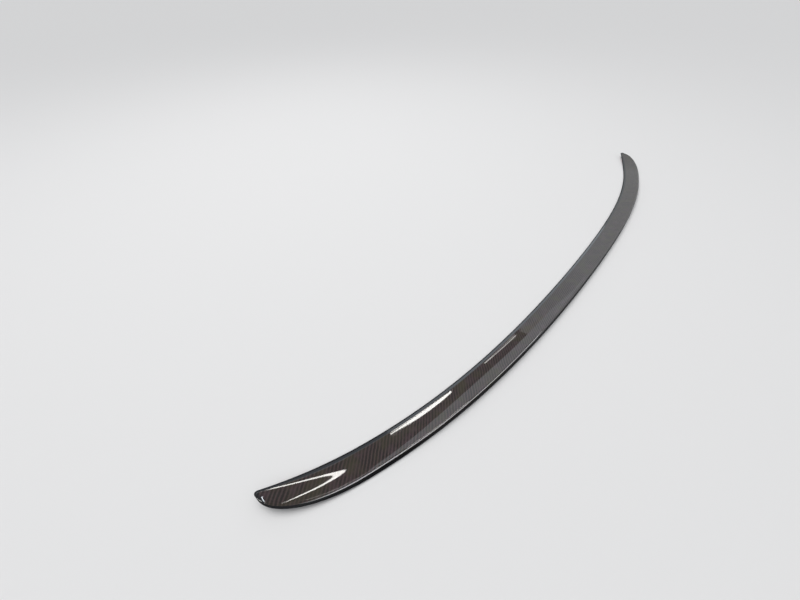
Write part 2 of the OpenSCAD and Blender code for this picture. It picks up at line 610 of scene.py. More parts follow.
    def heights(self, back: np.ndarray, h: np.ndarray, x: float, outer_n: int) -> np.ndarray:
        """Thins and crowns the ends of the shell, and rolls them down.

        Args:
            back: distances square to the front edge, once round the section.
            h: heights above the tape line, once round the section.
            x: place of the section along the span.
            outer_n: number of points on the outer side.

        Returns:
            The new heights.
        """
        s = self.sizes
        thin = 1 - (1 - s.tip_share) * float(ease((abs(x) - s.half + s.thin_len) / s.thin_len))
        roll = float(quarter_round((abs(x) - s.half + s.end_roll) / s.end_roll))
        crown = s.end_crown * float(ease((abs(x) - s.half + s.crown_from) / s.crown_ramp))
        crown = crown * (1 - (1 - clamp(back / s.crown_reach)) ** 2)
        t = self.domed(back, np.where(h > 0, h * thin + crown, h), x, outer_n)
        return t + (np.minimum(t, s.end_face_h) - t) * roll

    def resin_share(self, x: float, back: np.ndarray, outer_n: int) -> np.ndarray:
        """Where the outer side of a section is dark resin with no weave to see.

        Args:
            x: place of the section along the span.
            back: distances behind the front edge, once round the section.
            outer_n: number of points on the outer side.

        Returns:
            The share of resin at each point, 0 to 1.
        """
        s, form = self.sizes, self.form
        w, b, r = self.edge_widths(x)
        (front_at, front_run), (rear_at, rear_run) = form.resin_front, form.resin_rear
        front = 1 - ease((back - front_at * b) / (front_run * b))
        rear = ease((back - w + r + rear_at * s.crest_r) / (rear_run * s.crest_r))
        end_run = form.resin_end * self.end_resin
        end = float(ease((abs(x) - s.half + self.end_resin) / end_run))
        share = np.maximum(np.maximum(front, rear), end)
        share[outer_n:] = 0
        return share

    def build(self, finishes: dict[Finish, Material]) -> Object:
        """Builds the shell straight, then bows it in plan and lifts its tips with its tree.

        Args:
            finishes: the material of each finish.

        Returns:
            The finished object, at the origin.
        """
        s = self.sizes
        low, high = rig.box("spoiler_shell")
        xs = self.stations()
        fronts = self.plan.front(xs)
        shift = (low.y + high.y) / 2 - (fronts.max() + self.plan.rear(xs).min()) / 2
        rings, across, resin = [], [], []
        for x in map(float, xs):
            outer = self.outer_profile(x)
            ring = np.vstack([outer, self.under_profile(x)])
            square = ring[:, 0] / self.stretches(x)[0]
            z = s.tape_line + self.heights(square, ring[:, 1], x, len(outer))
            rings.append(np.column_stack([np.full(len(ring), x), -ring[:, 0], z]))
            steps = np.hypot(np.diff(square), np.diff(z))
            across.append(np.concatenate([[0.0], np.cumsum(steps)]))
            resin.append(self.resin_share(x, ring[:, 0], len(outer)))
        n, m, outer_n = len(rings[0]), len(rings), len(outer)
        middle = np.column_stack([xs, fronts])
        along = np.concatenate([[0.0], np.cumsum(np.hypot(*np.diff(middle, axis=0).T))])
        along -= along[-1] / 2
        points = np.vstack(rings + [[rings[0].mean(0), rings[-1].mean(0)]])
        faces = [(j * n + k, j * n + (k + 1) % n, (j + 1) * n + (k + 1) % n, (j + 1) * n + k)
                 for j in range(m - 1) for k in range(n)]
        faces += [(m * n, (k + 1) % n, k) for k in range(n)]
        faces += [(m * n + 1, (m - 1) * n + k, (m - 1) * n + (k + 1) % n) for k in range(n)]
        mesh = bpy.data.meshes.new(self.name)
        mesh.from_pydata(points.tolist(), [], faces)
        number = mesh.attributes.new("finish", "INT", "FACE")
        number.data.foreach_set("value", self.finish_numbers(n, m, outer_n))
        self.add_weave_map(mesh, along, np.array(across), n, m)
        share = mesh.attributes.new("resin", "FLOAT", "POINT")
        share.data.foreach_set("value", np.concatenate([*resin, [1.0, 1.0]]))
        straight = add_object(self.name + "_straight", mesh)
        values = {"Half Span": s.half, "Bow": s.bow, "Gather": s.bow_gather,
                  "Tip Radius": s.tip_r, "Tip Lift": s.tip_lift, "Lift Length": s.lift_len,
                  "Shift": float(shift), **{f.label: finishes[f] for f in Finish}}
        shell = grow(straight, self.bow_tree(self.name + "_bow"), self.name, values)
        shell.data.shade_smooth()
        shell.data.set_sharp_from_angle(angle=math.radians(self.sharp_angle))
        LOG.info("%s: %d sections, %d faces", self.name, m, len(faces))
        return shell

    def bow_tree(self, name: str) -> Tree:
        """Makes the tree that bows a straight shell in plan, lifts its tips and dresses it.

        Args:
            name: name of the tree.

        Returns:
            A Geometry Nodes tree with the bow, the tip radius, the lift and the three
            finishes as its inputs. Each face takes the finish that its number names.
        """
        sizes = ("Half Span", "Bow", "Gather", "Tip Radius", "Tip Lift", "Lift Length", "Shift")
        tree, nodes, into, out = new_tree(name, {**dict.fromkeys(sizes, "Float"),
                                                 **{f.label: "Material" for f in Finish}})
        size = into.outputs
        place, split = nodes.add("GeometryNodeInputPosition"), nodes.add("ShaderNodeSeparateXYZ")
        nodes.join(place.outputs[0], split.inputs[0])
        aside = nodes.math("ABSOLUTE", split.outputs[0])
        past_tip = nodes.math("SUBTRACT", aside, size["Half Span"])
        square = nodes.math("POWER", nodes.math("DIVIDE", aside, size["Half Span"]), 2.0)
        bent = nodes.mix(size["Gather"], square, nodes.math("MULTIPLY", square, square))
        bow = nodes.math("MULTIPLY", size["Bow"], nodes.math("SUBTRACT", bent, 1.0))
        corner = nodes.share(past_tip, size["Tip Radius"])
        arc = nodes.math("SQRT", nodes.math("SUBTRACT", 1.0, nodes.math("POWER", corner, 2.0)))
        rounding = nodes.math("MULTIPLY", size["Tip Radius"], nodes.math("SUBTRACT", 1.0, arc))
        forward = nodes.math("ADD", nodes.math("SUBTRACT", bow, rounding), size["Shift"])
        raised = nodes.math("POWER", nodes.share(past_tip, size["Lift Length"]), 2.0)
        offset, move = nodes.add("ShaderNodeCombineXYZ"), nodes.add("GeometryNodeSetPosition")
        nodes.join(forward, offset.inputs["Y"])
        nodes.join(nodes.math("MULTIPLY", size["Tip Lift"], raised), offset.inputs["Z"])
        nodes.join(size["Geometry"], move.inputs["Geometry"])
        nodes.join(offset.outputs[0], move.inputs["Offset"])
        real = nodes.add("GeometryNodeRealizeInstances")
        nodes.join(move.outputs[0], real.inputs[0])
        number = nodes.add("GeometryNodeInputNamedAttribute", data_type="INT")
        number.inputs["Name"].default_value = "finish"
        dressed = real.outputs[0]
        for finish in Finish:
            dress = nodes.add("GeometryNodeSetMaterial")
            nodes.join(dressed, dress.inputs["Geometry"])
            if finish is not Finish.COAT:
                chosen = nodes.math("COMPARE", number.outputs[0], float(finish.value), 0.1)
                nodes.join(chosen, dress.inputs["Selection"])
            nodes.join(size[finish.label], dress.inputs["Material"])
            dressed = dress.outputs[0]
        nodes.join(dressed, out.inputs[0])
        return tree

    def finish_numbers(self, n: int, m: int, outer_n: int) -> list[int]:
        """Which finish each face has.

        Args:
            n: points in a section.
            m: number of sections.
            outer_n: number of points on the outer side.

        Returns:
            The number of each face's finish, in the order of the faces.
        """
        first, last = (1 + k * self.curve_steps for k in (self.form.coat_from, self.form.coat_to))
        ring = [Finish.UNDERSIDE if k >= outer_n else
                Finish.COAT if first <= k < last else Finish.TRIMMED_EDGE for k in range(n)]
        return [f.value for f in ring] * (m - 1) + [Finish.TRIMMED_EDGE.value] * (2 * n)

    def add_weave_map(self, mesh: bpy.types.Mesh, along: np.ndarray, across: np.ndarray,
                      n: int, m: int) -> None:
        """Writes the UV map that the weave follows, in metres along and across the shell.

        Args:
            mesh: mesh whose loops get the map.
            along: length along the front edge at each section.
            across: length round each section at each of its points.
            n: points in a section.
            m: number of sections.
        """
        uv = mesh.uv_layers.new(name="weave")
        for poly in mesh.polygons:
            wraps = poly.index < (m - 1) * n and poly.index % n == n - 1
            for loop in poly.loop_indices:
                v = mesh.loops[loop].vertex_index
                if v >= m * n:
                    j, t = (0, 0.0) if v == m * n else (m - 1, 0.0)
                else:
                    j, k = divmod(v, n)
                    closes = wraps and k == 0
                    t = across[j][n - 1] + self.closing_step if closes else across[j][k]
                uv.data[loop].uv = (along[j], t)


class Nodes:
    """Short calls that add and join the nodes of one tree."""

    def __init__(self, tree: Tree) -> None:
        """Keeps the tree."""
        self.tree = tree

    def add(self, kind: str, **settings: object) -> Node:
        """Adds a node.

        Args:
            kind: the node's type.
            **settings: values of its properties.

        Returns:
            The new node.
        """
        node = self.tree.nodes.new(kind)
        for key, value in settings.items():
            setattr(node, key, value)
        return node

    def join(self, source: Socket, target: Socket) -> None:
        """Joins two sockets."""
        self.tree.links.new(source, target)

    def feed(self, socket: Socket, value: object) -> None:
        """Gives an input its value.

        Args:
            socket: the input.
            value: a socket to join to it, a colour, or a number.
        """
        if isinstance(value, Socket):
            self.join(value, socket)
        else:
            socket.default_value = (*value, 1.0) if isinstance(value, tuple) else value

    def fill(self, node: Node, values: dict[str, object]) -> None:
        """Gives a node's inputs their values, by their names."""
        for name, value in values.items():
            self.feed(node.inputs[name], value)

    def math(self, operation: str, *inputs: object) -> Socket:
        """Adds a Math node.

        Args:
            operation: what it works out.
            *inputs: a socket or a number for each input.

        Returns:
            Its output.
        """
        node = self.add("ShaderNodeMath", operation=operation)
        for socket, value in zip(node.inputs, inputs):
            self.feed(socket, value)
        return node.outputs[0]

    def unit(self, value: Socket) -> Socket:
        """Keeps a value between 0 and 1."""
        return self.math("MINIMUM", self.math("MAXIMUM", value, 0.0), 1.0)

    def share(self, past_end: object, length: object) -> Socket:
        """How far a place lies along the last length before an end, 0 to 1."""
        return self.unit(self.math("DIVIDE", self.math("ADD", past_end, length), length))

    def level(self, value: Socket, low: float, high: float) -> Socket:
        """How far a value has come from low to high, 0 to 1."""
        return self.unit(self.math("DIVIDE", self.math("SUBTRACT", value, low), high - low))

    def mix(self, factor: object, a: object, b: object) -> Socket:
        """Mixes two numbers.

        Args:
            factor: the share of the second.
            a: the first.
            b: the second.

        Returns:
            The mixed number.
        """
        node = self.add("ShaderNodeMix", data_type="FLOAT")
        for socket, value in zip((node.inputs[0], node.inputs[2], node.inputs[3]), (factor, a, b)):
            self.feed(socket, value)
        return node.outputs[0]

    def mix_colour(self, factor: object, a: object, b: object) -> Socket:
        """Mixes two colours.

        Args:
            factor: the share of the second.
            a: the first.
            b: the second.

        Returns:
            The mixed colour.
        """
        node = self.add("ShaderNodeMix", data_type="RGBA")
        for socket, value in zip((node.inputs[0], node.inputs[6], node.inputs[7]), (factor, a, b)):
            self.feed(socket, value)
        return node.outputs[2]

    def place(self) -> Socket:
        """Adds the Object coordinates."""
        return self.add("ShaderNodeTexCoord").outputs["Object"]

    def noise(self, scale: float, detail: float, vector: Socket | None = None) -> Socket:
        """Adds a Noise texture.

        Args:
            scale: its scale.
            detail: its detail.
            vector: where it reads, or None for the Object coordinates.

        Returns:
            Its level.
        """
        texture = self.add("ShaderNodeTexNoise")
        place = self.place() if vector is None else vector
        self.fill(texture, {"Scale": scale, "Detail": detail, "Vector": place})
        return texture.outputs[0]

    def bump(self, shader: Node, height: Socket, strength: float, distance: float) -> None:
        """Gives a shader fine relief.

        Args:
            shader: the shader.
            height: the relief, 0 to 1.
            strength: how strongly it shows.
            distance: its depth in metres.
        """
        node = self.add("ShaderNodeBump")
        self.fill(node, {"Strength": strength, "Distance": distance, "Height": height})
        self.join(node.outputs[0], shader.inputs["Normal"])


def new_tree(name: str, inputs: dict[str, str]) -> tuple[Tree, Nodes, Node, Node]:
    """Makes a Geometry Nodes tree.

    Args:
        name: its name.
        inputs: the kind of each input after the geometry, by the input's name.

    Returns:
        The tree, its nodes, its input node and its output node.
    """
    tree = bpy.data.node_groups.new(name, "GeometryNodeTree")
    for label, kind in {"Geometry": "Geometry", **inputs}.items():
        tree.interface.new_socket(label, in_out="INPUT", socket_type="NodeSocket" + kind)
    tree.interface.new_socket("Geometry", in_out="OUTPUT", socket_type="NodeSocketGeometry")
    nodes = Nodes(tree)
    return tree, nodes, nodes.add("NodeGroupInput"), nodes.add("NodeGroupOutput")


def grow(source: Object, tree: Tree, name: str, values: dict[str, object]) -> Object:
    """Runs a tree on an object and keeps what comes out as a plain mesh.

    Args:
        source: curve or mesh that the tree starts from. It is removed afterwards.
        tree: the Geometry Nodes tree.
        name: name of the new piece.
        values: the tree's inputs by name.

    Returns:
        The piece, at the origin and with no modifier.
    """
    modifier = source.modifiers.new("grow", "NODES")
    modifier.node_group = tree
    for item in tree.interface.items_tree:
        if item.in_out == "INPUT" and item.name in values:
            modifier[item.identifier] = values[item.name]
    bpy.context.view_layer.update()
    graph = bpy.context.evaluated_depsgraph_get()
    mesh = bpy.data.meshes.new_from_object(source.evaluated_get(graph),
                                           preserve_all_data_layers=True, depsgraph=graph)
    mesh.name = name
    piece = add_object(name, mesh)
    bpy.data.objects.remove(source)
    return piece


def new_material(name: str, shader_type: str = "BsdfPrincipled") -> tuple[Material, Nodes, Node]:
    """Makes a material with one shader.

    Args:
        name: its name.
        shader_type: the shader's type.

    Returns:
        The material, its nodes and its shader, joined to the output.
    """
    material = bpy.data.materials.new(name)
    material.use_nodes = True
    material.node_tree.nodes.clear()
    nodes = Nodes(material.node_tree)
    shader = nodes.add("ShaderNode" + shader_type)
    output = nodes.add("ShaderNodeOutputMaterial")
    nodes.join(shader.outputs[0], output.inputs[0])
    return material, nodes, shader


@dataclass(frozen=True)
class TwillWeave:
    """A two by two twill of flat tows, in a UV map in metres."""

    tow_w: float = 1.2 * MM
    waver: float = 2.0 * MM
    waver_scale: float = 45.0
    repeat: float = 4.0
    floated: float = 1.5
    map_name: str = "weave"

    def add(self, nodes: Nodes) -> tuple[Socket, Socket, Socket]:
        """Adds the pattern's nodes.

        Args:
            nodes: tree that gets them.

        Returns:
            Sockets with 1 where a tow along the span lies on top, with the height of
            the tows, and with a value that runs finely across the fibres.
        """
        uv = nodes.add("ShaderNodeUVMap", uv_map=self.map_name).outputs[0]
        split = nodes.add("ShaderNodeSeparateXYZ")
        nodes.join(uv, split.inputs[0])
        drift = nodes.noise(self.waver_scale, 1.0, uv)
        sway = nodes.math("MULTIPLY", nodes.math("SUBTRACT", drift, 0.5), self.waver)
        u = nodes.math("DIVIDE", nodes.math("ADD", split.outputs[0], sway), self.tow_w)
        v = nodes.math("DIVIDE", nodes.math("ADD", split.outputs[1], sway), self.tow_w)
        column, row = nodes.math("FLOOR", u), nodes.math("FLOOR", v)
        fu, fv = nodes.math("FRACT", u), nodes.math("FRACT", v)
        place = nodes.math("FLOORED_MODULO", nodes.math("ADD", column, row), self.repeat)
        on_top = nodes.math("LESS_THAN", place, self.floated)
        along_run = nodes.math("FLOORED_MODULO", nodes.math("ADD", u, row), self.repeat)
        across_at = nodes.math("SUBTRACT", nodes.math("ADD", v, column), self.repeat / 2)
        across_run = nodes.math("FLOORED_MODULO", across_at, self.repeat)
        height_along = self.tow_height(nodes, fv, along_run)
        height_across = self.tow_height(nodes, fu, across_run)
        height = nodes.mix(on_top, height_across, height_along)
        fibre = nodes.mix(on_top, fu, fv)
        return on_top, height, fibre

    @staticmethod
    def tow_height(nodes: Nodes, side: Socket, run: Socket) -> Socket:
        """Height of a tow.

        Args:
            nodes: tree that gets the nodes.
            side: place across the tow, 0 to 1.
            run: place along its float, 0 to 2.

        Returns:
            The height, 0 to 1.
        """
        centred = nodes.math("SUBTRACT", nodes.math("MULTIPLY", side, 2.0), 1.0)
        flank = nodes.math("POWER", nodes.math("ABSOLUTE", centred), 4.0)
        arc = nodes.math("SINE", nodes.math("MULTIPLY", run, math.pi / 2))
        return nodes.math("MULTIPLY", nodes.math("SUBTRACT", 1.0, flank),
                          nodes.math("MAXIMUM", arc, 0.0))


@dataclass(frozen=True)
class Patches:
    """Soft patches of another colour, placed by a slow noise over the object."""

    colour: Colour
    scale: float
    low: float
    high: float
    most: float

    def over(self, nodes: Nodes, ground: Socket) -> Socket:
        """Lays the patches over a colour.

        Args:
            nodes: tree that gets the nodes.
            ground: the colour between the patches.

        Returns:
            The colour with its patches.
        """
        level = nodes.level(nodes.noise(self.scale, 2.0), self.low, self.high)
        return nodes.mix_colour(nodes.math("MULTIPLY", level, self.most), ground, self.colour)


@dataclass(frozen=True)
class CoatedCarbon:
    """Carbon fibre twill under a gloss clear coat, with plain dark resin at the edges; its tows along the span carry a
    painted sheen.
    """

    # along and across are one fibre in two tones: the twill is the weave's own pattern, and the lighter tone along the
    # span is a painted sheen.
    along: Colour = (0.060, 0.038, 0.036)
    across: Colour = (0.018, 0.013, 0.012)
    gap: Colour = (0.006, 0.005, 0.005)
    resin: Colour = (0.009, 0.009, 0.012)
    olive: Patches = Patches((0.042, 0.038, 0.018), 60.0, 0.45, 0.7, 0.6)
    plum: Patches = Patches((0.058, 0.033, 0.042), 95.0, 0.5, 0.72, 0.5)
    gap_edge: float = 2.5
    fibres: int = 5
    fibre_relief: float = 0.05
    resin_height: float = 0.5
    relief: float = 0.05 * MM
    weave: TwillWeave = field(default_factory=TwillWeave)

    def build(self) -> Material:
        """Builds the material.

        Returns:
            The new material.
        """
        material, nodes, shader = new_material("coated_carbon_twill")
        on_top, height, fibre = self.weave.add(nodes)
        # Painted sheen: the tows along the span take the lighter tone, the tows across it the darker one.
        tows = nodes.mix_colour(on_top, self.across, self.along)
        raised = nodes.math("MINIMUM", nodes.math("MULTIPLY", height, self.gap_edge), 1.0)
        woven = nodes.mix_colour(raised, self.gap, tows)
        tinted = self.plum.over(nodes, self.olive.over(nodes, woven))
        edge = nodes.add("ShaderNodeAttribute", attribute_name="resin").outputs["Fac"]
        strands = nodes.math("SINE", nodes.math("MULTIPLY", fibre, 2 * math.pi * self.fibres))
        fine = nodes.math("MULTIPLY", strands, self.fibre_relief)
        surface = nodes.mix(edge, nodes.math("ADD", height, fine), self.resin_height)
        nodes.bump(shader, surface, 0.6, self.relief)
        tangent = nodes.add("ShaderNodeTangent", direction_type="UV_MAP",
                            uv_map=self.weave.map_name)
        nodes.fill(shader, {
            "Base Color": nodes.mix_colour(edge, tinted, self.resin),
            "Tangent": tangent.outputs[0], "Anisotropic": 0.5,
            "Anisotropic Rotation": nodes.math("MULTIPLY", on_top, 0.25),
            "Roughness": 0.42, "Specular IOR Level": 0.12,
            "Coat Weight": 1.0, "Coat Roughness": 0.02, "Coat IOR": 1.5})
        return material


@dataclass(frozen=True)
class TrimmedEdgeAndShade:
    """The cut and black sealed edge of the laminate, satin with fine sanding marks; its near-black is also painted
    shade of the rear face and of the gap under the lip.
    """

    # black is partly the sealed edge's own colour and partly painted shade, darker than the edge alone would be.
    black: Colour = (0.003, 0.003, 0.004)
    worn: Colour = (0.007, 0.007, 0.008)
    mark_scale: float = 700.0
    relief: float = 0.03 * MM

    def build(self) -> Material:
        """Builds the material.

        Returns:
            The new material.
        """
        material, nodes, shader = new_material("sealed_black_edge_and_shade")
        marks = nodes.noise(self.mark_scale, 4.0)
        nodes.fill(shader, {
            "Base Color": nodes.mix_colour(marks, self.black, self.worn),
            "Roughness": nodes.math("ADD", nodes.math("MULTIPLY", marks, 0.2), 0.45),
            "Specular IOR Level": 0.08})
        nodes.bump(shader, marks, 0.3, self.relief)
        return material


@dataclass(frozen=True)
class RawLaminate:
    """The bare underside of the laminate, matt with the print of its release cloth."""

    light: Colour = (0.034, 0.033, 0.033)
    dark: Colour = (0.016, 0.016, 0.017)
    cloud_scale: float = 90.0
    cloth_pitch: float = 0.9 * MM
    relief: float = 0.1 * MM

    def build(self) -> Material:
        """Builds the material.

        Returns:
            The new material.
        """
        material, nodes, shader = new_material("raw_laminate")
        uv = nodes.add("ShaderNodeUVMap", uv_map="weave")
        split = nodes.add("ShaderNodeSeparateXYZ")
        nodes.join(uv.outputs[0], split.inputs[0])
        waves = [nodes.math("SINE", nodes.math("MULTIPLY", s, 2 * math.pi / self.cloth_pitch))
                 for s in (split.outputs[0], split.outputs[1])]
        cloud = nodes.noise(self.cloud_scale, 5.0)
        nodes.fill(shader, {
            "Base Color": nodes.mix_colour(cloud, self.dark, self.light),
            "Roughness": nodes.math("ADD", nodes.math("MULTIPLY", cloud, 0.25), 0.42)})
        nodes.bump(shader, nodes.math("MULTIPLY", *waves), 0.4, self.relief)
        return material


@dataclass(frozen=True)
class FoamTape:
    """Dark closed-cell foam of the double-sided tape."""

    light: Colour = (0.050, 0.050, 0.054)
    dark: Colour = (0.020, 0.020, 0.022)
    cell_scale: float = 4200.0
    relief: float = 0.05 * MM

    def build(self) -> Material:
        """Builds the material.

        Returns:
            The new material.
        """
        material, nodes, shader = new_material("foam_tape")
        cells = nodes.add("ShaderNodeTexVoronoi")
        nodes.fill(cells, {"Scale": self.cell_scale, "Vector": nodes.place()})
        nodes.fill(shader, {
            "Base Color": nodes.mix_colour(cells.outputs[0], self.dark, self.light),
            "Roughness": 0.85})
        nodes.bump(shader, cells.outputs[0], 0.5, self.relief)
        return material


@dataclass(frozen=True)
class ReleaseFilm:
    """Smooth red film that covers the adhesive until the part is fitted."""

    red: Colour = (0.52, 0.012, 0.022)
    deep_red: Colour = (0.36, 0.008, 0.016)
    ripple_scale: float = 60.0
    relief: float = 0.4 * MM

    def build(self) -> Material:
        """Builds the material.

        Returns:
            The new material.
        """
        material, nodes, shader = new_material("red_release_film")
        ripple = nodes.noise(self.ripple_scale, 3.0)
        nodes.fill(shader, {
            "Base Color": nodes.mix_colour(ripple, self.red, self.deep_red),
            "Roughness": 0.28})
        nodes.bump(shader, ripple, 0.25, self.relief)
        return material


@dataclass
class TapeRow:
    """A row of foam tape and its liner, swept along the row that the frame gives."""

    edge: Edge
    width: float = 8.0 * MM
    segments: int = 220
    middle: float = 30 * MM
    digits: int = 6
    same_place: float = 2e-6

    def path(self, node: str) -> np.ndarray:
        """Middle line of a strip in the frame.

        Args:
            node: CAD node of the strip.

        Returns:
            Rows of its points, from its left end to its right end.
        """
        co = np.array([v.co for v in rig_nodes()[node].data.vertices])
        rows = []
        for x in np.unique(np.round(co[:, 0], self.digits)):
            group = np.round(co[np.abs(co[:, 0] - x) < self.same_place], self.digits)
            rows.append((group.min(0) + group.max(0)) / 2)
        return np.array(rows)

    def sweep_tree(self, name: str) -> Tree:
        """Makes the tree that sweeps a flat strip along a curve.

        Args:
            name: name of the tree.

        Returns:
            A Geometry Nodes tree with the inputs Width, Thickness, Segments and Finish.
        """
        tree, nodes, into, out = new_tree(name, {"Width": "Float", "Thickness": "Float",
                                                 "Segments": "Int", "Finish": "Material"})
        even = nodes.add("GeometryNodeResampleCurve")
        nodes.join(into.outputs["Geometry"], even.inputs["Curve"])
        nodes.join(into.outputs["Segments"], even.inputs["Count"])
        upright = nodes.add("GeometryNodeSetCurveNormal", mode="Z_UP")
        nodes.join(even.outputs[0], upright.inputs[0])
        section = nodes.add("GeometryNodeCurvePrimitiveQuadrilateral")
        nodes.join(into.outputs["Width"], section.inputs["Width"])
        nodes.join(into.outputs["Thickness"], section.inputs["Height"])
        sweep = nodes.add("GeometryNodeCurveToMesh")
        nodes.fill(sweep, {"Curve": upright.outputs[0], "Profile Curve": section.outputs[0],
                           "Fill Caps": True})
        flat = nodes.add("GeometryNodeSetShadeSmooth")
        flat.inputs["Shade Smooth"].default_value = False
        nodes.join(sweep.outputs[0], flat.inputs[0])
        real = nodes.add("GeometryNodeRealizeInstances")
        nodes.join(flat.outputs[0], real.inputs[0])
        dress = nodes.add("GeometryNodeSetMaterial")
        nodes.join(real.outputs[0], dress.inputs[0])
        nodes.join(into.outputs["Finish"], dress.inputs["Material"])
        nodes.join(dress.outputs[0], out.inputs[0])
        return tree

    def strip(self, node: str, piece: str, finish: Material) -> Object:
        """Sweeps the strip that stands for a CAD node.

        Args:
            node: CAD node that the strip follows and replaces.
            piece: name of the new piece.
            finish: its material.

        Returns:
            The strip as a plain mesh at the origin.
        """
        low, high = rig.box(node)
        rows = self.path(node)
        at_middle = np.array([v.co.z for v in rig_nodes()[node].data.vertices
                              if abs(v.co.x) < self.middle])
        thickness = float(at_middle.max() - at_middle.min())
        curve = bpy.data.curves.new(piece + "_path", "CURVE")
        curve.dimensions = "3D"
        spline = curve.splines.new("POLY")
        spline.points.add(len(rows) - 1)
        spline.points.foreach_set("co", np.column_stack([rows, np.ones(len(rows))]).ravel())
        strip = grow(add_object(piece + "_path", curve), self.sweep_tree(piece + "_sweep"), piece,
                     {"Width": self.width, "Thickness": thickness,
                      "Segments": self.segments, "Finish": finish})
        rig.ride(strip, "root")
        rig.replaces(strip, node)
        LOG.info("%s: %.0f mm long, %.2f mm thick", piece, (high.x - low.x) / MM, thickness / MM)
        return strip

    def build(self, foam: Material, film: Material) -> None:
        """Sweeps the tape and the liner under it.

        Args:
            foam: finish of the tape.
            film: finish of the liner.
        """
        side = self.edge.value
        tape = self.strip(f"{side}_tape", f"{side}_foam_tape", foam)
        liner = self.strip(f"{side}_liner", f"{side}_release_liner", film)
        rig.slot(tape, "foam_tape")
        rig.slot(liner, "red_liner")


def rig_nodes() -> dict[str, Object]:
    """The CAD nodes by name, as the frame loaded them."""
    return {o["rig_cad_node"]: o for o in bpy.context.scene.objects if "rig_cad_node" in o}


@dataclass(frozen=True)
class Viewpoint:
    """The photograph's camera: its place in metres, its turns in degrees and its lens."""

    place: Point = (-0.5469, -0.0950, 0.3920)
    heading: float = 42.77
    down: float = 47.35
    roll: float = -0.15
    focal_px: float = 310
    picture_px: float = 800
    sensor: float = 36.0
    clip: tuple[float, float] = (0.01, 100.0)

    def build(self) -> Object:
        """Makes the camera and hands it to the scene.

        Returns:
            The camera.
        """
        h, p, r = (math.radians(v) for v in (self.heading, self.down, self.roll))
        forward = Vector((math.cos(h) * math.cos(p), math.sin(h) * math.cos(p), -math.sin(p)))
        right = Vector((math.sin(h), -math.cos(h), 0.0))
        up = right.cross(forward)
        right, up = (right * math.cos(r) - up * math.sin(r), up * math.cos(r) + right * math.sin(r))
        data = bpy.data.cameras.new("camera")
        data.sensor_width, data.sensor_fit = self.sensor, "HORIZONTAL"
        data.lens = self.focal_px / self.picture_px * self.sensor
        data.clip_start, data.clip_end = self.clip
        camera = add_object("camera", data)
        turn = Matrix((right, up, -forward)).transposed()
        camera.matrix_world = Matrix.Translation(self.place) @ turn.to_4x4()
        bpy.context.scene.camera = camera
        return camera


@dataclass(frozen=True)
class Card:
    """A flat pale card or lamp face that the gloss of the part can show.

    Its colour is multiplied by foot at the lower height of fade and below, and
    reaches its full value at the upper height.
    """

    name: str
    middle: Point
    right: Point
    up: Point
    colour: Colour
    strength: float
    foot: Colour = (1.0, 1.0, 1.0)
    fade: tuple[float, float] = (0.0, 1.0)

    def build(self) -> Object:
        """Makes the card as an emitting face that only reflections see.

        Returns:
            The card.
        """
        c, a, b = Vector(self.middle), Vector(self.right) / 2, Vector(self.up) / 2
        mesh = bpy.data.meshes.new(self.name)
        mesh.from_pydata([c - a - b, c + a - b, c + a + b, c - a + b], [], [(0, 1, 2, 3)])
        material, nodes, glow = new_material(self.name, "Emission")
        split = nodes.add("ShaderNodeSeparateXYZ")
        nodes.join(nodes.place(), split.inputs[0])
        dim = tuple(full * part for full, part in zip(self.colour, self.foot))
        colour = nodes.mix_colour(nodes.level(split.outputs[2], *self.fade), dim, self.colour)
        nodes.fill(glow, {"Color": colour, "Strength": self.strength})
        mesh.materials.append(material)
        card = add_object(self.name, mesh)
        card.visible_camera = card.visible_diffuse = card.visible_shadow = False
        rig.stage(card)
        return card


